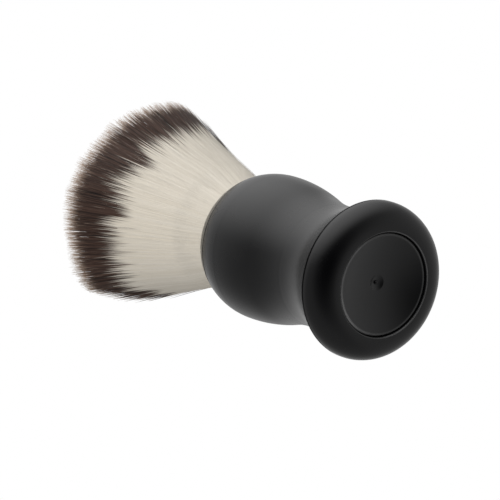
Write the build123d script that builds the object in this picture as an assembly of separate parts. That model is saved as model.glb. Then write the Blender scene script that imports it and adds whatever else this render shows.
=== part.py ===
from build123d import *
import math
import os

# A shaving brush that stands on its foot: +Z runs along its axis, from the foot to the tips of
# the fibres, and the origin is the centre of the flat ring that it rests on. All sizes are in mm.

# Foot: a thick disc, rounded from the flat ring that it rests on up to its widest circle.
foot_radius = 18.0
foot_height = 5.7  # from the resting ring to the seam with the neck
rest_ring_width = 0.8
recess_edge_round = 0.3  # round the plug, on the inside of the resting ring
foot_web = 2.5
spigot_length = 6.8
spigot_wall = 2.2

# Base plug: a thin dished disc with a skirt, and the mark of its moulding gate.
plug_radius = 11.7
plug_rim_round = 0.6
plug_inset = 0.15  # the plug stays clear of what the foot rests on
plug_dish_depth = 2.7
plug_wall = 1.6
plug_skirt_wall = 1.5
plug_skirt_height = 4.7
gate_radius = 1.7
gate_depth = 0.4
gate_nub_radius = 0.45

# Handle body: neck and bulb. Heights are above the seam with the foot.
neck_base_radius = 18.0
waist_radius = 14.3
waist_height = 14.3
bulb_radius = 17.35
bulb_height = 36.8  # height of the widest circle
bulb_under_round = 46.0
bulb_top_round = 17.5
cap_seam_height = 42.5
neck_wall = 2.6
body_web_height = 18.3
body_web = 2.5
boss_radius = 3.7
seam_chamfer = 0.25

# Socket cap: ring round the mouth and the cup that the knot is glued into.
cap_height = 5.2  # from the cap's seam to the mouth
cap_lip_round = 1.2
mouth_round = 0.6
socket_depth = 15.5
socket_wall = 1.4
socket_floor = 1.5
cap_skirt_wall = 1.1
cap_skirt_length = 4.0

# Screw that holds the foot.
screw_radius = 1.6
screw_length = 14.5
screw_head_radius = 3.5
screw_head_height = 2.1
screw_slot_width = 0.9
screw_slot_depth = 0.8
screw_hole_gap = 0.4  # round the shank, in the foot's web

# Knot: glue, ferrule, resin and fibres.
ferrule_radius = 10.7
ferrule_wall = 0.5
ferrule_height = 9.6
glue_thickness = 0.6
backing_thickness = 1.0  # slice of resin that the strands are fused to
ferrule_rim = 0.6  # the ferrule's rim stands above the resin by this
knot_length = 56.0  # from the mouth to the highest tips
bloom_radius = 25.2
bloom_height = 45.0  # of the outermost tips, above the mouth
knot_mouth_radius = 10.0  # to the outermost strand's centre line
strand_count = 320
strand_sides = 3
strand_fill = 0.85  # a strand's width, of the room between its neighbours
strand_tip_width = 0.5
strand_belly_share = 0.74  # of a strand's free length
strand_length_spread = 0.9
root_margin = 0.5  # round the strands, on the resin

# Clearances.
fit_gap = 0.05  # between pieces that are pressed or glued together
ballast_gap = 0.15
head_gap = 0.3

# Heights on the axis.
waist_z = foot_height + waist_height
bulb_z = foot_height + bulb_height
cap_seam_z = foot_height + cap_seam_height
mouth_z = cap_seam_z + cap_height
body_web_z = foot_height + body_web_height
plug_seat_z = plug_inset + plug_skirt_height
plug_crown_z = plug_inset + plug_dish_depth + plug_wall
screw_seat_z = max(plug_seat_z, plug_crown_z) + screw_head_height + head_gap
web_top_z = screw_seat_z + foot_web
spigot_top_z = foot_height + spigot_length
socket_floor_z = mouth_z - socket_depth
cup_bottom_z = socket_floor_z - socket_floor
ferrule_z = socket_floor_z + glue_thickness
resin_top_z = ferrule_z + ferrule_height - ferrule_rim - backing_thickness
backing_top_z = resin_top_z + backing_thickness

# Radii of the fits.
recess_radius = plug_radius + fit_gap
neck_bore_radius = waist_radius - neck_wall
spigot_radius = neck_bore_radius - fit_gap
socket_radius = ferrule_radius + fit_gap
cup_radius = socket_radius + socket_wall
skirt_radius = cup_radius + cap_skirt_wall
bulb_bore_radius = skirt_radius + fit_gap
resin_radius = ferrule_radius - ferrule_wall - fit_gap


def arc(start, centre, end):
    """The shorter arc about a centre from start to end, in radius and height."""
    radius = math.dist(start, centre)
    half = [(a + b) / 2 - c for a, b, c in zip(start, end, centre)]
    stretch = radius / math.hypot(*half)
    middle = tuple(c + h * stretch for c, h in zip(centre, half))
    return ThreePointArc(start, middle, end)


def turned(*edges):
    """The solid that a closed outline of radius and height sweeps about the brush's axis."""
    return revolve(Plane.XZ * make_face(edges), Axis.Z)


def path(*points):
    """Straight edges through points of radius and height."""
    return [Line(a, b) for a, b in zip(points, points[1:])]


def tube(inner, outer, low, high):
    """A ring, or a disc where inner is 0, between two heights."""
    ring = Cylinder(outer, high - low)
    if inner:
        ring -= Cylinder(inner, high - low)
    return Pos(0, 0, (low + high) / 2) * ring


def bulb_top_radius(height):
    """Radius of the upper bulb at a height on the axis."""
    rise = height - bulb_z
    return bulb_radius - bulb_top_round + math.sqrt(bulb_top_round**2 - rise**2)


def neck_arc():
    """Radius of the arc above the waist, and the point where it runs into the lower bulb."""
    across = bulb_radius - bulb_under_round - waist_radius
    rise = bulb_z - waist_z
    radius = (across**2 + rise**2 - bulb_under_round**2) / (2 * (bulb_radius - waist_radius))
    share = bulb_under_round / (bulb_under_round + radius)
    join = (
        bulb_radius - bulb_under_round + (radius - across) * share,
        bulb_z - rise * share,
    )
    return radius, join


def handle_body():
    """Neck and bulb: cored from below for the foot and ballast, and from above for the cap."""
    base = (neck_base_radius, foot_height + seam_chamfer)
    waist = (waist_radius, waist_z)
    belly = (bulb_radius, bulb_z)
    crown = (bulb_top_radius(cap_seam_z - seam_chamfer), cap_seam_z - seam_chamfer)
    step_out = neck_base_radius - waist_radius
    drop = waist_z - base[1]
    flare_round = (step_out**2 + drop**2) / (2 * step_out)
    neck_round, join = neck_arc()
    hollow_floor_z = body_web_z + body_web
    hollow_step_z = (cup_bottom_z + hollow_floor_z) / 2
    boss_end_z = max(web_top_z, foot_height)
    outer = [
        Line((neck_base_radius - seam_chamfer, foot_height), base),
        arc(base, (waist_radius + flare_round, waist_z), waist),
        arc(waist, (waist_radius + neck_round, waist_z), join),
        arc(join, (bulb_radius - bulb_under_round, bulb_z), belly),
        arc(belly, (bulb_radius - bulb_top_round, bulb_z), crown),
        Line(crown, (crown[0] - seam_chamfer, cap_seam_z)),
    ]
    inner = path(
        (crown[0] - seam_chamfer, cap_seam_z),
        (bulb_bore_radius, cap_seam_z),
        (bulb_bore_radius, hollow_step_z),
        (neck_bore_radius, hollow_floor_z),
        (0, hollow_floor_z),
        (0, body_web_z),
        (neck_bore_radius, body_web_z),
        (neck_bore_radius, foot_height),
        (neck_base_radius - seam_chamfer, foot_height),
    )
    boss = tube(0, boss_radius, boss_end_z, body_web_z)
    pilot = tube(0, screw_radius + fit_gap, boss_end_z, screw_seat_z + screw_length + head_gap)
    return turned(*outer, *inner) + boss - pilot


def foot():
    """Thick foot: recess for the plug, hole for the screw, and spigot into the neck."""
    rest_edge = (recess_radius + rest_ring_width, 0)
    edge = (foot_radius, foot_height - seam_chamfer)
    step_out = edge[0] - rest_edge[0]
    under_round = (step_out**2 + edge[1] ** 2) / (2 * step_out)
    hole_radius = screw_radius + screw_hole_gap
    cavity_radius = recess_radius - plug_skirt_wall
    mouth_edge = (recess_radius + recess_edge_round, 0)
    outer = [
        arc((recess_radius, recess_edge_round), (mouth_edge[0], recess_edge_round), mouth_edge),
        Line(mouth_edge, rest_edge),
        arc(rest_edge, (foot_radius - under_round, edge[1]), edge),
    ]
    inner = path(
        edge,
        (foot_radius - seam_chamfer, foot_height),
        (spigot_radius, foot_height),
        (spigot_radius, spigot_top_z),
        (spigot_radius - spigot_wall, spigot_top_z),
        (spigot_radius - spigot_wall, web_top_z),
        (hole_radius, web_top_z),
        (hole_radius, screw_seat_z),
        (cavity_radius, screw_seat_z),
        (cavity_radius, plug_seat_z),
        (recess_radius, plug_seat_z),
        (recess_radius, recess_edge_round),
    )
    return turned(*outer, *inner)


def base_plug():
    """Dished disc with a skirt, and the small round mark of its moulding gate."""
    dish_round = (plug_radius**2 + plug_dish_depth**2) / (2 * plug_dish_depth)
    crown_z = plug_inset + plug_dish_depth
    centre = (0, crown_z - dish_round)
    skirt_inner = plug_radius - plug_skirt_wall
    shoulder_z = centre[1] + math.sqrt((dish_round + plug_wall) ** 2 - skirt_inner**2)
    skirt = path(
        (plug_radius, plug_inset),
        (plug_radius, plug_seat_z),
        (skirt_inner, plug_seat_z),
        (skirt_inner, shoulder_z),
    )
    plug = turned(
        arc((0, crown_z), centre, (plug_radius, plug_inset)),
        *skirt,
        arc((skirt_inner, shoulder_z), centre, (0, crown_z + plug_wall)),
        Line((0, crown_z + plug_wall), (0, crown_z)),
    )
    rim = plug.edges().filter_by(GeomType.CIRCLE).group_by(Axis.Z)[0]
    plug = fillet(rim.sort_by(SortBy.RADIUS)[-1], plug_rim_round)
    mark_round = (gate_radius**2 + gate_depth**2) / (2 * gate_depth)
    mark = Pos(0, 0, crown_z + gate_depth - mark_round) * Sphere(mark_round)
    nub = Pos(0, 0, crown_z + gate_depth) * Sphere(gate_nub_radius)
    return plug - mark + nub


def ballast_ring():
    """Steel ring that fills the neck's bore round the boss."""
    ring = tube(
        boss_radius + ballast_gap,
        neck_bore_radius - ballast_gap,
        spigot_top_z,
        body_web_z - ballast_gap,
    )
    return chamfer(ring.edges().filter_by(GeomType.CIRCLE), ballast_gap)


def foot_screw():
    """Pan-head screw with a cross recess and a pointed end."""
    head = tube(0, screw_head_radius, screw_seat_z - screw_head_height, screw_seat_z)
    head = fillet(head.edges().group_by(Axis.Z)[0], screw_head_height / 2)
    shank = tube(0, screw_radius, screw_seat_z, screw_seat_z + screw_length)
    shank = chamfer(shank.edges().group_by(Axis.Z)[-1], screw_radius / 2)
    slot_z = screw_seat_z - screw_head_height + screw_slot_depth / 2
    slot = Box(screw_head_radius, screw_slot_width, screw_slot_depth)
    cross = Pos(0, 0, slot_z) * (slot + Rot(0, 0, 90) * slot)
    return head + shank - cross


def socket_cap():
    """Ring that closes the top of the bulb, with a cup for the knot and a skirt in the bore."""
    foot_of_cap = (bulb_top_radius(cap_seam_z + seam_chamfer), cap_seam_z + seam_chamfer)
    seam_radius = bulb_top_radius(cap_seam_z - seam_chamfer) - seam_chamfer
    top = (bulb_top_radius(mouth_z), mouth_z)
    skirt_end_z = cap_seam_z - cap_skirt_length
    rest = path(
        top,
        (socket_radius, mouth_z),
        (socket_radius, socket_floor_z),
        (0, socket_floor_z),
        (0, cup_bottom_z),
        (cup_radius, cup_bottom_z),
        (cup_radius, skirt_end_z),
        (skirt_radius, skirt_end_z),
        (skirt_radius, cap_seam_z),
        (seam_radius, cap_seam_z),
        foot_of_cap,
    )
    cap = turned(arc(foot_of_cap, (bulb_radius - bulb_top_round, bulb_z), top), *rest)
    for place, rounding in ((-1, cap_lip_round), (0, mouth_round)):
        rims = cap.edges().filter_by(GeomType.CIRCLE).group_by(Axis.Z)[-1]
        cap = fillet(rims.sort_by(SortBy.RADIUS)[place], rounding)
    return cap


def knot_glue():
    """Disc of glue between the socket's floor and the ferrule."""
    return tube(0, ferrule_radius, socket_floor_z, ferrule_z)


def knot_ferrule():
    """Thin cup round the roots of the fibres."""
    cup = tube(0, ferrule_radius, ferrule_z, ferrule_z + ferrule_height)
    inside = tube(
        0,
        ferrule_radius - ferrule_wall,
        ferrule_z + ferrule_wall,
        ferrule_z + ferrule_height,
    )
    return cup - inside


def knot_resin():
    """Resin cast in the ferrule, up to the slice that holds the strands."""
    return tube(0, resin_radius, ferrule_z + ferrule_wall, resin_top_z)


def fan_radius(height):
    """Radius of the outermost strands' centre lines at a height on the axis."""
    root = (backing_top_z, resin_radius - root_margin)
    mouth = (mouth_z, knot_mouth_radius)
    bloom = (mouth_z + bloom_height, bloom_radius)
    low, high = (root, mouth) if height < mouth_z else (mouth, bloom)
    return low[1] + (high[1] - low[1]) * (height - low[0]) / (high[0] - low[0])


def strand(number):
    """One tapering strand of three sides: the strands fan out alike, so that none cross."""
    share = math.sqrt((number + 0.5) / strand_count)  # of the fan's radius
    turn = number * 180 * (3 - math.sqrt(5))  # golden angle, in degrees
    dome = (knot_length - bloom_height) * (1 - share**2)
    uneven = strand_length_spread * math.sin(number * 2.4)
    tip_z = mouth_z + bloom_height + dome - strand_length_spread + uneven
    belly_z = mouth_z + (tip_z - mouth_z) * strand_belly_share
    room = 0.87 * math.sqrt(math.pi / strand_count)  # between neighbours, of the fan's radius
    sections = [(z, strand_fill * room * fan_radius(z)) for z in (backing_top_z, mouth_z, belly_z)]
    sections.append((tip_z, strand_tip_width))
    outlines = [
        Rot(0, 0, turn)
        * Pos(share * fan_radius(height), 0, height)
        * RegularPolygon(width / 2, strand_sides)
        for height, width in sections
    ]
    return loft(outlines, ruled=True)


def bristles():
    """Fibres of the knot, as strands that stand on the top slice of the resin and are one with it."""
    backing = tube(0, resin_radius, resin_top_z, backing_top_z)
    return backing.fuse(*(strand(number) for number in range(strand_count)), glue=True)


os.makedirs("parts", exist_ok=True)
for make in (
    handle_body,
    foot,
    base_plug,
    ballast_ring,
    foot_screw,
    socket_cap,
    knot_glue,
    knot_ferrule,
    knot_resin,
    bristles,
):
    export_step(make(), f"parts/{make.__name__}.step")
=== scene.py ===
"""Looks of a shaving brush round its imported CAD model: plastics, fibres, studio and camera.

The brush stands on its foot at the origin, with +Z along its axis. Lengths are in metres, and
names that end in _MM or _mm are in millimetres.
"""

import math

import bpy
import numpy as np
from mathutils import Matrix, Vector


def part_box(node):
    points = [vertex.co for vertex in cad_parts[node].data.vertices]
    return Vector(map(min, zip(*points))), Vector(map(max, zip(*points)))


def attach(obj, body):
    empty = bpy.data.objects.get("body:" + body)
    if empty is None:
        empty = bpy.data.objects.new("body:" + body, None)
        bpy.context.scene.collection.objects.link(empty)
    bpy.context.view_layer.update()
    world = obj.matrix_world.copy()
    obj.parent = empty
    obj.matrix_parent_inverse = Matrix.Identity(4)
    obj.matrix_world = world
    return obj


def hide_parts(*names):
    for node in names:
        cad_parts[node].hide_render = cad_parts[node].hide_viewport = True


MM = 0.001
SEED = 7

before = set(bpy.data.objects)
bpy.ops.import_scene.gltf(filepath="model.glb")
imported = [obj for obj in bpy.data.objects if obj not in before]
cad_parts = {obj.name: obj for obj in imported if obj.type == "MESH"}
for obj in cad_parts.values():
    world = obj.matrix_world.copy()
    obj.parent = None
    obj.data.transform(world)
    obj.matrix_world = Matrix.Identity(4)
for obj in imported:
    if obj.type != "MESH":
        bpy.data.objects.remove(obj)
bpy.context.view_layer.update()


# ---- Camera -------------------------------------------------------------------------------
# The photograph looks up at the foot from below, with the fibres pointing away to the left.

PICTURE_PX = 500
SENSOR_MM = 36.0
LENS_MM = 164.6
NEAREST_SEEN = 0.01
FOOT_PIXEL = (384.6, 285.3)  # the centre of the foot's resting ring, in the photograph
FOOT_DISTANCE = 0.5  # from the camera, along its line of sight
AXIS_LEAN = math.radians(36.11)  # from the line of sight to the brush's axis
AXIS_TURN = math.radians(19.1)  # of the axis in the picture, above level, to the left


def picture_axes():
    """The picture's right, down and forward directions, in the brush's frame."""
    axis = Vector(
        (
            -math.sin(AXIS_LEAN) * math.cos(AXIS_TURN),
            -math.sin(AXIS_LEAN) * math.sin(AXIS_TURN),
            math.cos(AXIS_LEAN),
        )
    )
    across = Vector((1, 0, 0))
    across = (across - across.dot(axis) * axis).normalized()
    picture_to_brush = Matrix((across, axis.cross(across), axis))
    return [Vector(direction) for direction in picture_to_brush.col]


RIGHT, DOWN, FORWARD = picture_axes()


def add_camera():
    """The camera of the photograph, as seen from the standing brush."""
    focal_px = LENS_MM / SENSOR_MM * PICTURE_PX
    offset = [(pixel - PICTURE_PX / 2) / focal_px * FOOT_DISTANCE for pixel in FOOT_PIXEL]
    place = -(RIGHT * offset[0] + DOWN * offset[1] + FORWARD * FOOT_DISTANCE)
    data = bpy.data.cameras.new("camera")
    data.lens = LENS_MM
    data.sensor_width = SENSOR_MM
    data.clip_start = NEAREST_SEEN
    camera = bpy.data.objects.new("camera", data)
    turn = Matrix((RIGHT, -DOWN, -FORWARD)).transposed()
    camera.matrix_world = Matrix.Translation(place) @ turn.to_4x4()
    bpy.context.collection.objects.link(camera)
    bpy.context.scene.camera = camera


# ---- Material helpers ---------------------------------------------------------------------


def srgb(*levels):
    """A colour of linear light from levels of 0 to 255."""
    linear = []
    for level in levels:
        share = level / 255
        linear.append(share / 12.92 if share <= 0.04045 else ((share + 0.055) / 1.055) ** 2.4)
    return (*linear, 1.0)


class Nodes:
    """A node tree under construction. A value given to a node is a number or another's output."""

    def __init__(self, owner):
        owner.use_nodes = True
        self.tree = owner.node_tree
        self.tree.nodes.clear()

    def put(self, value, socket):
        if isinstance(value, bpy.types.NodeSocket):
            self.tree.links.new(value, socket)
        else:
            socket.default_value = value

    def add(self, kind, settings=None, **inputs):
        """A new node. Its inputs go by their names, or by their numbers as i0, i1 and so on."""
        node = self.tree.nodes.new(kind)
        for name, value in (settings or {}).items():
            setattr(node, name, value)
        for name, value in inputs.items():
            key = int(name[1:]) if name[0] == "i" and name[1:].isdigit() else name
            self.put(value, node.inputs[key])
        return node

    def math(self, operation, *values):
        inputs = {f"i{place}": value for place, value in enumerate(values)}
        return self.add("ShaderNodeMath", {"operation": operation}, **inputs).outputs[0]

    def ramp(self, value, stops):
        node = self.add("ShaderNodeValToRGB", Fac=value)
        elements = node.color_ramp.elements
        while len(elements) < len(stops):
            elements.new(0.5)
        for element, (place, colour) in zip(elements, stops):
            element.position = place
            element.color = colour
        return node.outputs["Color"]

    def span(self, value, start, end, low=0.0, high=1.0, interpolation="LINEAR"):
        """The value's place between start and end, as a number between low and high."""
        settings = {"interpolation_type": interpolation}
        inputs = {"Value": value, "i1": start, "i2": end, "i3": low, "i4": high}
        return self.add("ShaderNodeMapRange", settings, **inputs).outputs[0]

    def mix(self, share, first, second):
        """A colour between two. The inputs of this node are numbered, for each has several types."""
        node = self.add("ShaderNodeMix", {"data_type": "RGBA"}, i0=share, i6=first, i7=second)
        return node.outputs[2]

    def mix_shaders(self, share, first, second):
        node = self.add("ShaderNodeMixShader", Fac=share, i1=first.outputs[0], i2=second.outputs[0])
        return node.outputs[0]

    def noise(self, vector, scale, detail):
        return self.add("ShaderNodeTexNoise", Vector=vector, Scale=scale, Detail=detail).outputs[0]

    def bump(self, height, strength, distance):
        inputs = {"Height": height, "Strength": strength, "Distance": distance}
        return self.add("ShaderNodeBump", **inputs).outputs[0]


def surface(name):
    """A new material with its nodes and its Principled shader, already joined to the output."""
    material = bpy.data.materials.new(name)
    nodes = Nodes(material)
    shader = nodes.add("ShaderNodeBsdfPrincipled")
    nodes.add("ShaderNodeOutputMaterial", Surface=shader.outputs[0])
    return material, nodes, shader


# ---- Plastics and inner pieces ------------------------------------------------------------

CLOUDS = (0.3, 0.7)  # the range in which a noise's values mostly lie
MOTTLE = 0.03  # of the plastic's roughness, up and down
UNDERSIDE_MM = 2  # the painted edge highlights lie below this height
# Painted highlights on edges of the underside: a paler colour between two radii, to a level of grey,
# and most of all on one side, from little at the first X to fully at the second.
FOOT_PAINTED_HIGHLIGHT = {"radii_mm": (11.75, 12.1), "level": 92, "x_mm": (-8, 4)}
PLUG_PAINTED_HIGHLIGHT = {"radii_mm": (10.8, 11.8), "level": 130, "x_mm": (1, -9)}


def painted_edge_highlight(nodes, where, clouds, colour, radii_mm, level, x_mm):
    """The colour given, with a paler ring painted as a highlight on an edge of the underside."""
    x, y, z = nodes.add("ShaderNodeSeparateXYZ", Vector=where).outputs
    plan = nodes.add("ShaderNodeCombineXYZ", X=x, Y=y).outputs[0]
    radius = nodes.add("ShaderNodeVectorMath", {"operation": "LENGTH"}, i0=plan).outputs["Value"]
    across = nodes.span(radius, *(limit * MM for limit in radii_mm))
    black, white = srgb(0, 0, 0), srgb(255, 255, 255)
    ring = nodes.ramp(across, [(0.0, black), (0.5, white), (1.0, black)])
    patches = nodes.span(clouds, *CLOUDS, 0.4, 1.0)
    side = nodes.span(x, *(limit * MM for limit in x_mm), 0.2, 1.0)
    amount = nodes.math("LESS_THAN", z, UNDERSIDE_MM * MM)
    for share in (ring, patches, side):
        amount = nodes.math("MULTIPLY", amount, share)
    # the painted highlight: the plastic's colour lifted towards a grey inside the mask
    return nodes.mix(amount, colour, srgb(level, level, level))


def black_plastic(name, gloss, ior=1.5, painted_highlight=None):
    """Moulded black plastic: a soft gloss that varies a little, faint flow marks, fine dust and, if
    asked, a painted edge highlight.
    """
    material, nodes, shader = surface(name)
    where = nodes.add("ShaderNodeTexCoord").outputs["Object"]
    clouds = nodes.noise(where, scale=90.0, detail=3.0)
    grain = nodes.noise(where, scale=2600.0, detail=2.0)
    dark, pale = CLOUDS
    colour = nodes.ramp(clouds, [(dark, srgb(5, 5, 6)), (pale, srgb(9, 9, 10))])
    # a painted highlight on an edge of the underside, where one is given
    if painted_highlight:
        colour = painted_edge_highlight(nodes, where, clouds, colour, **painted_highlight)
    nodes.put(colour, shader.inputs["Base Color"])
    rough = nodes.span(clouds, *CLOUDS, gloss - MOTTLE, gloss + MOTTLE)
    nodes.put(rough, shader.inputs["Roughness"])
    bump = nodes.bump(grain, strength=0.05, distance=0.04 * MM)
    nodes.put(bump, shader.inputs["Normal"])
    nodes.put(ior, shader.inputs["IOR"])
    return material


def plain(name, first, second, rough, metal=0.0):
    """A mottled surface for the pieces inside the brush."""
    material, nodes, shader = surface(name)
    where = nodes.add("ShaderNodeTexCoord").outputs["Object"]
    clouds = nodes.noise(where, scale=300.0, detail=4.0)
    colour = nodes.ramp(clouds, [(0.35, first), (0.65, second)])
    nodes.put(colour, shader.inputs["Base Color"])
    bump = nodes.bump(clouds, strength=0.2, distance=0.05 * MM)
    nodes.put(bump, shader.inputs["Normal"])
    nodes.put(rough, shader.inputs["Roughness"])
    nodes.put(metal, shader.inputs["Metallic"])
    return material


def dress_cad():
    """Gives each CAD node its material."""
    looks = {
        "handle_body": black_plastic("handle_plastic", 0.26),
        # the foot and the plug get painted highlights on edges of their undersides
        "foot": black_plastic("foot_plastic", 0.24, painted_highlight=FOOT_PAINTED_HIGHLIGHT),
        "base_plug": black_plastic("plug_plastic", 0.3, ior=1.6, painted_highlight=PLUG_PAINTED_HIGHLIGHT),
        "ballast_ring": plain("ballast_steel", srgb(120, 120, 122), srgb(150, 150, 152), 0.45, 1.0),
        "foot_screw": plain("screw_steel", srgb(180, 180, 184), srgb(205, 205, 208), 0.3, 1.0),
        "knot_glue": plain("glue", srgb(196, 182, 150), srgb(214, 204, 178), 0.5),
        "knot_ferrule": plain("ferrule_plastic", srgb(214, 212, 205), srgb(228, 226, 220), 0.45),
        "knot_resin": plain("resin", srgb(160, 128, 74), srgb(186, 152, 96), 0.25),
    }
    looks["socket_cap"] = looks["handle_body"]
    for node, material in looks.items():
        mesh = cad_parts[node].data
        mesh.materials.clear()
        mesh.materials.append(material)


# ---- Fibres -------------------------------------------------------------------------------
# Thousands of fine tapering fibres stand in the resin and fan out of the socket's mouth. They
# gather into tufts towards their tips. A place across the knot is a share of its radius.

ROOT_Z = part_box("bristles")[0][2]
MOUTH_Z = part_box("socket_cap")[1][2]

FIBRES = 24000
TUFTS = 900
FIBRE_SIDES = 3
LEVELS = (0.0, 0.13, 0.36, 0.58, 0.74, 0.86, 0.94, 1.0)  # of a fibre's length
WIDTHS_MM = (0.13, 0.14, 0.15, 0.15, 0.14, 0.11, 0.08, 0.03)  # at the levels
WIDTH_RANGE = (0.8, 1.2)  # of these widths, from fibre to fibre
PIECES = ("core", "inner", "middle", "near", "outer", "side", "rim")

ROOT_RADIUS_MM = 9.3
MOUTH_RADIUS_MM = 9.4
BLOOM_RADIUS_MM = 25.1
BLOOM_HEIGHT_MM = 44.5  # of the outermost tips, above the mouth
KNOT_LENGTH_MM = 57.2  # from the mouth to the highest tips
TIP_EXCESS_MM = 0.2  # that a tip may stand above the dome's top, apart from the wings
DOME_POWER = 1.75
BULGE_MM = 1.6  # how far they belly out just above the mouth
BULGE_PLACE = 0.16  # of the way from the mouth to the tips
MOUTH_SHIFT_MM = (0.55, -1.05)  # the knot comes out a little off the socket's axis
# Where the knot isn't round: the turn from +X in degrees, how much higher the tips reach there
# in millimetres, how narrow that side is, and how much wider the knot is there, as a share.
WINGS = (
    (-47, 9.0, 9, 0.095),
    (-5, 6.0, 8, 0.0),
    (60, 4.0, 8, 0.0),
    (114, 10.0, 9, 0.0),
    (140, 0.0, 1, 0.05),
)

TUFT_JITTER = 0.012  # of the tufts' places, of the knot's radius
FIBRE_JITTER = 0.004
TUFT_UNEVEN_MM = 0.5
TIP_SHORTFALL_MM = 1.1  # of single fibres, on average
GATHER = 0.42  # how far a fibre's tip is drawn to its tuft's centre
GATHER_RANGE = (0.3, 1.0)  # of that, from fibre to fibre
GATHER_FROM = 0.66  # of a fibre's length
RIM = (0.8, 0.95)  # of the knot's radius: between these, fibres begin to keep to the rim
RIM_HOLD = 0.6  # how much less the rim's fibres gather
STRAY = 0.008  # of a tip, of the knot's radius
BOW = 0.006  # of a fibre's middle, of the knot's radius
WANDER = 0.02  # how far fibres cross each other, of the knot's radius
SOFTNESS = 0.85  # of the knot's own side in the fibres' shading
THREADS_FROM = (0.6, 0.9)  # of a fibre's length: inside the dome the shading turns to threads
SIDE_TILT = -0.3  # the knot flares upwards, so its side looks a little down

GOLDEN_ANGLE = math.pi * (3 - math.sqrt(5))
TINY = 1e-6  # keeps a radius that is divided by off zero
KINDS = 256  # kinds of fibre, by where the dark band starts
KIND_RANGE = 0.3  # of a fibre's length, between the first kind's band and the last kind's
KIND_MARGIN = 0.1  # of a kind's column in the UV map, free on either side
BAND_START = 0.79  # of a fibre's length
BAND_BLUR = 0.05  # either side of the start
BAND_FROM_TIP_MM = 13.8
BAND_UNEVEN = (0.024, 0.032)  # from tuft to tuft and from fibre to fibre, of its length
DARK_TUFTS = 0.06  # the share of tufts that are dark further down
DARK_TUFT_EXTRA = 0.09  # of a fibre's length
PALE_TIP = (0.92, 1.0)  # of a fibre's length


def spread(count, rng, jitter):
    """Points spread evenly over a disc of radius 1, on a spiral, with some jitter."""
    number = np.arange(count)
    radius = np.sqrt((number + 0.5) / count)
    turn = number * GOLDEN_ANGLE
    points = np.stack((radius * np.cos(turn), radius * np.sin(turn)), 1)
    points += rng.normal(0, jitter, points.shape)
    far = np.linalg.norm(points, axis=1)
    return points / np.maximum(far, 1)[:, None]


def smooth(value, start, full):
    """A soft step from 0 at start to 1 at full."""
    share = np.clip((value - start) / (full - start), 0, 1)
    return share * share * (3 - 2 * share)


def heading(degrees):
    """The horizontal direction at a turn from +X."""
    return np.array((math.cos(math.radians(degrees)), math.sin(math.radians(degrees))))


def knot_side(rise, above):
    """Radius of the knot's side, by the share of the way to the mouth and on to the tip."""
    inside = ROOT_RADIUS_MM + (MOUTH_RADIUS_MM - ROOT_RADIUS_MM) * rise
    belly = BULGE_MM * math.e * above / BULGE_PLACE * np.exp(-above / BULGE_PLACE)
    return (inside + (BLOOM_RADIUS_MM - MOUTH_RADIUS_MM) * above + belly) * MM


def tip_heights(places, tuft, rng):
    """Height of each fibre's tip above the mouth, in millimetres: a dome with uneven wings."""
    radius = np.linalg.norm(places, axis=1)
    dome = (KNOT_LENGTH_MM - BLOOM_HEIGHT_MM) * (1 - radius**DOME_POWER)
    uneven = rng.normal(0, TUFT_UNEVEN_MM, TUFTS)[tuft] - rng.exponential(TIP_SHORTFALL_MM, FIBRES)
    heights = np.minimum(BLOOM_HEIGHT_MM + dome + uneven, KNOT_LENGTH_MM + TIP_EXCESS_MM)
    for turn, higher_mm, narrow, _ in WINGS:
        towards = places @ heading(turn) / np.maximum(radius, TINY)
        heights += higher_mm * np.maximum(towards, 0) ** narrow * radius**2
    return heights


def fibre_lines(places, aims, tip_z, rng):
    """Centre lines, by fibre, level and XYZ, and the directions there that point out of the knot.

    places and aims are where each fibre stands and its tuft's centre, as shares of the radius.
    The directions fade to nothing among the dome's tips, whose shading stays that of threads.
    """
    radius = np.linalg.norm(places, axis=1)
    level = np.asarray(LEVELS)[None]
    height = ROOT_Z + (tip_z[:, None] - ROOT_Z) * level
    rise = np.clip((height - ROOT_Z) / (MOUTH_Z - ROOT_Z), 0, 1)
    above = np.clip((height - MOUTH_Z) / (tip_z - MOUTH_Z)[:, None], 0, 1)

    late = smooth(level, GATHER_FROM, 1)[..., None]
    keep = smooth(radius, *RIM)[:, None]  # the rim's fibres don't draw in
    gather = GATHER * late * rng.uniform(*GATHER_RANGE, (FIBRES, 1, 1))
    gather = gather * (1 - RIM_HOLD * keep[..., None])
    stray = rng.normal(0, STRAY, (FIBRES, 1, 2)) * late
    bow = rng.normal(0, BOW, (FIBRES, 1, 2)) * np.sin(level * math.pi)[..., None]
    wander = rng.normal(0, WANDER, (FIBRES, 1, 2)) * above[..., None]
    plan = places[:, None] + (aims - places)[:, None] * gather + stray + bow + wander
    reach = np.linalg.norm(plan, axis=2)
    plan *= (1 + keep * (radius[:, None] / np.maximum(reach, TINY) - 1))[..., None]

    threads = smooth(level, *THREADS_FROM) * (1 - radius**4)[:, None]
    down = np.broadcast_to(SIDE_TILT * radius[:, None], above.shape)
    out = np.concatenate((plan, down[..., None]), 2) * (1 - threads)[..., None]

    for turn, _, _, wider in WINGS:
        across = heading(turn)
        plan += (wider * above * np.maximum(plan @ across, 0))[..., None] * across
    shift = np.array(MOUTH_SHIFT_MM) * MM * (rise - above)[..., None]
    plan = plan * knot_side(rise, above)[..., None] + shift
    return np.concatenate((plan, height[..., None]), 2), out


def fibre_kinds(tuft, tip_z, rng):
    """Each fibre's kind, as a share of 0 to 1: it says how far from the root its band starts."""
    start = 1 - BAND_FROM_TIP_MM * MM / (tip_z - ROOT_Z)
    by_tuft, by_fibre = BAND_UNEVEN
    start += rng.normal(0, by_tuft, TUFTS)[tuft] + rng.normal(0, by_fibre, FIBRES)
    start -= DARK_TUFT_EXTRA * (rng.random(TUFTS) < DARK_TUFTS)[tuft]
    return np.clip(0.5 + (start - BAND_START) / KIND_RANGE, 0.001, 0.999)


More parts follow.
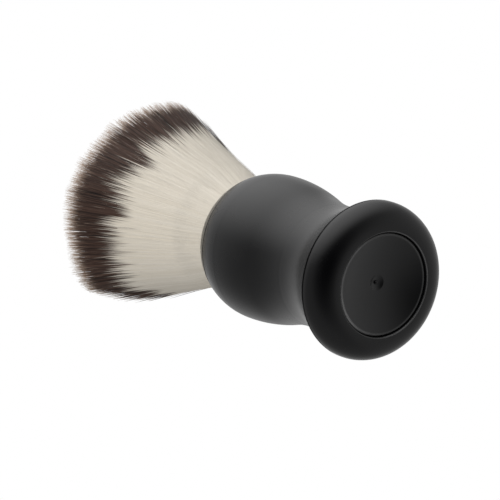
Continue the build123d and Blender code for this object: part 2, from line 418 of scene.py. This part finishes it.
def fibre_material():
    """Cream shafts, an uneven dark band and pale tips, by a fibre's kind and its length."""
    material, nodes, shader = surface("fibres")
    place = nodes.add("ShaderNodeUVMap", {"uv_map": "OFBake"}).outputs[0]
    kind, length, _ = nodes.add("ShaderNodeSeparateXYZ", Vector=place).outputs
    column = nodes.math("FLOOR", nodes.math("MULTIPLY", kind, float(KINDS)))
    white_noise = nodes.add("ShaderNodeTexWhiteNoise", {"noise_dimensions": "1D"}, W=column)
    tone = white_noise.outputs["Value"]
    shift = nodes.math("MULTIPLY", nodes.math("SUBTRACT", kind, 0.5), KIND_RANGE)
    along = nodes.math("SUBTRACT", length, shift)
    blur = (BAND_START - BAND_BLUR, BAND_START + BAND_BLUR)
    band = nodes.span(along, *blur, interpolation="SMOOTHSTEP")
    tip = nodes.span(length, *PALE_TIP, interpolation="SMOOTHSTEP")
    shaft = nodes.mix(tone, srgb(200, 193, 180), srgb(210, 204, 193))
    dark = nodes.mix(tone, srgb(13, 8, 7), srgb(84, 64, 55))
    colour = nodes.mix(tip, nodes.mix(band, shaft, dark), srgb(168, 148, 132))
    nodes.put(colour, shader.inputs["Base Color"])
    nodes.put(0.5, shader.inputs["Roughness"])
    nodes.put(0.35, shader.inputs["Specular IOR Level"])
    return material


def tube_faces(count):
    """Vertex numbers of the quads of the tubes' sides, and of the triangles of their ends."""
    levels = len(LEVELS)
    index = np.arange(count * levels * FIBRE_SIDES).reshape(count, levels, FIBRE_SIDES)
    low, high = index[:, :-1], index[:, 1:]
    sides = np.stack((low, np.roll(low, -1, 2), np.roll(high, -1, 2), high), -1)
    ends = np.stack((index[:, 0, ::-1], index[:, -1]), 1)
    return sides, ends


def tube_uvs(kinds):
    """U is a fibre's kind and V the share of its length, for the corners of all faces in turn."""
    count = len(kinds)
    left = (np.floor(kinds * KINDS) + KIND_MARGIN) / KINDS
    right = left + (1 - 2 * KIND_MARGIN) / KINDS
    level = np.asarray(LEVELS)
    side_shape = (count, len(LEVELS) - 1, FIBRE_SIDES, 4)
    side_u = np.stack((left, right, right, left), 1)[:, None, None]
    side_v = np.stack((level[:-1], level[:-1], level[1:], level[1:]), 1)[None, :, None]
    end_shape = (count, 2, 3)
    end_u = np.stack((left, right, (left + right) / 2), 1)[:, None]
    end_v = np.array(((0, 0, 0.01), (1, 1, 0.99)))[None]
    flat = [
        np.concatenate(
            (np.broadcast_to(side, side_shape).ravel(), np.broadcast_to(end, end_shape).ravel())
        )
        for side, end in ((side_u, end_u), (side_v, end_v))
    ]
    return np.stack(flat, 1)


def fibre_mesh(name, centres, out, widths, kinds):
    """One mesh of closed three-sided tubes: centres is fibre by level by XYZ, in metres.

    out points out of the knot: it reflects light as a soft surface more than as single threads.
    """
    corner = np.arange(FIBRE_SIDES) * 2 * math.pi / FIBRE_SIDES
    ring = np.stack((np.cos(corner), np.sin(corner), np.zeros(FIBRE_SIDES)), 1)
    points = centres[:, :, None, :] + widths[:, :, None, None] / 2 * ring[None, None]
    sides, ends = tube_faces(len(centres))
    loops = np.concatenate((sides.ravel(), ends.ravel()))
    quads, triangles = sides.size // 4, ends.size // 3
    starts = np.concatenate((np.arange(quads) * 4, quads * 4 + np.arange(triangles) * 3))

    mesh = bpy.data.meshes.new(name)
    mesh.vertices.add(points.size // 3)
    mesh.vertices.foreach_set("co", points.ravel())
    mesh.loops.add(loops.size)
    mesh.loops.foreach_set("vertex_index", loops)
    mesh.polygons.add(starts.size)
    mesh.polygons.foreach_set("loop_start", starts)
    mesh.polygons.foreach_set("use_smooth", np.ones(starts.size, bool))
    mesh.update(calc_edges=True)
    mesh.uv_layers.new(name="OFBake").data.foreach_set("uv", tube_uvs(kinds).ravel())
    mesh.validate()
    normals = (1 - SOFTNESS) * ring[None, None] + SOFTNESS * out[:, :, None]
    mesh.normals_split_custom_set_from_vertices(normals.reshape(-1, 3))
    return mesh


def grow_fibres():
    """The knot, in pieces from its core to its rim."""
    rng = np.random.default_rng(SEED)
    tufts = spread(TUFTS, rng, TUFT_JITTER)
    places = spread(FIBRES, rng, FIBRE_JITTER)
    tuft = np.linalg.norm(places[:, None] - tufts[None], axis=2).argmin(1)
    tip_z = MOUTH_Z + tip_heights(places, tuft, rng) * MM
    centres, out = fibre_lines(places, tufts[tuft], tip_z, rng)
    widths = np.asarray(WIDTHS_MM) * MM * rng.uniform(*WIDTH_RANGE, (FIBRES, 1))
    kinds = fibre_kinds(tuft, tip_z, rng)
    material = fibre_material()
    from_core = np.argsort(np.linalg.norm(places, axis=1))
    for name, chosen in zip(PIECES, np.array_split(from_core, len(PIECES))):
        parts = (centres[chosen], out[chosen], widths[chosen], kinds[chosen])
        mesh = fibre_mesh(f"fibres_{name}", *parts)
        mesh.materials.append(material)
        piece = bpy.data.objects.new(f"fibres_{name}", mesh)
        bpy.context.collection.objects.link(piece)
        piece.visible_shadow = name != "rim"  # the outermost fibres shade no others: a soft look
        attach(piece, "root")
        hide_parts("bristles")


# ---- Studio -------------------------------------------------------------------------------

FLOOR_REACH = 2.0
LAMP_AIM = Vector((0, 0, 0.05))  # near the middle of the brush
# The room that gives the brush its light and gloss: towards a direction, light grows between two
# cosines of the angle from it, up to a strength.
GLOWS = (
    (FORWARD, -1.05, -0.35, 0.27),
    (FORWARD, 0.4, 1.1, 0.3),
    (-DOWN - 0.28 * RIGHT - 0.05 * FORWARD, 0.4, 1.2, 1.6),
    (FORWARD - RIGHT - 0.6 * DOWN, 0.5, 1.2, 0.4),
    (RIGHT + 0.3 * FORWARD, 0.4, 1.1, 0.2),
)


def add_floor():
    """A pale floor that the brush stands on. It shows to the camera from above only."""
    mesh = bpy.data.meshes.new("floor")
    corners = [(x * FLOOR_REACH, y * FLOOR_REACH, 0) for x, y in ((-1, -1), (1, -1), (1, 1), (-1, 1))]
    mesh.from_pydata(corners, [], [(0, 1, 2, 3)])
    floor = bpy.data.objects.new("floor", mesh)
    bpy.context.collection.objects.link(floor)
    material, nodes, shader = surface("floor")
    nodes.put(srgb(238, 238, 238), shader.inputs["Base Color"])
    nodes.put(0.8, shader.inputs["Roughness"])
    from_below = nodes.add("ShaderNodeNewGeometry").outputs["Backfacing"]
    clear = nodes.add("ShaderNodeBsdfTransparent")
    output = shader.outputs[0].links[0].to_node
    nodes.put(nodes.mix_shaders(from_below, shader, clear), output.inputs["Surface"])
    mesh.materials.append(material)
    floor.visible_diffuse = False
    floor.visible_glossy = False
    floor.visible_transmission = False
    floor.visible_shadow = False


def glow(nodes, sight, direction, start, full, strength):
    """Light that grows towards a direction, by the cosine of the angle between it and sight."""
    settings = {"operation": "DOT_PRODUCT"}
    facing = nodes.add("ShaderNodeVectorMath", settings, i0=sight, i1=direction.normalized())
    return nodes.span(facing.outputs["Value"], start, full, 0.0, strength, "SMOOTHSTEP")


def add_world():
    """White behind the object; for its light and gloss, a dim room with a soft light overhead."""
    world = bpy.data.worlds.new("studio")
    bpy.context.scene.world = world
    nodes = Nodes(world)
    sight = nodes.add("ShaderNodeTexCoord").outputs["Generated"]
    level = 0.0
    for soft_light in GLOWS:
        level = nodes.math("ADD", level, glow(nodes, sight, *soft_light))
    room = nodes.add("ShaderNodeBackground", Color=(1, 1, 1, 1), Strength=level)
    white = nodes.add("ShaderNodeBackground", Color=(1, 1, 1, 1), Strength=1.0)
    ray = nodes.add("ShaderNodeLightPath").outputs
    seen = nodes.math("MAXIMUM", ray["Is Camera Ray"], ray["Is Transmission Ray"])
    nodes.add("ShaderNodeOutputWorld", Surface=nodes.mix_shaders(seen, room, white))


def add_lamp(name, direction, distance, size, power):
    """A square lamp that shines at the brush from a direction. Gloss doesn't show it."""
    data = bpy.data.lights.new(name, "AREA")
    data.size = size
    data.energy = power
    lamp = bpy.data.objects.new(name, data)
    direction = direction.normalized()
    lamp.location = LAMP_AIM + direction * distance
    lamp.rotation_euler = direction.to_track_quat("Z", "Y").to_euler()
    lamp.visible_glossy = False
    lamp.visible_camera = False
    bpy.context.collection.objects.link(lamp)


def add_studio():
    add_floor()
    add_world()
    add_lamp("key", -DOWN - 0.1 * FORWARD, distance=0.8, size=0.7, power=2.0)
    add_lamp("under", DOWN - 0.3 * FORWARD, distance=0.8, size=0.5, power=3.0)
    add_lamp("fill", -FORWARD - 0.4 * RIGHT - 0.3 * DOWN, distance=0.9, size=0.6, power=5.5)


add_camera()
dress_cad()
grow_fibres()
add_studio()
bpy.context.scene.view_settings.view_transform = "Standard"
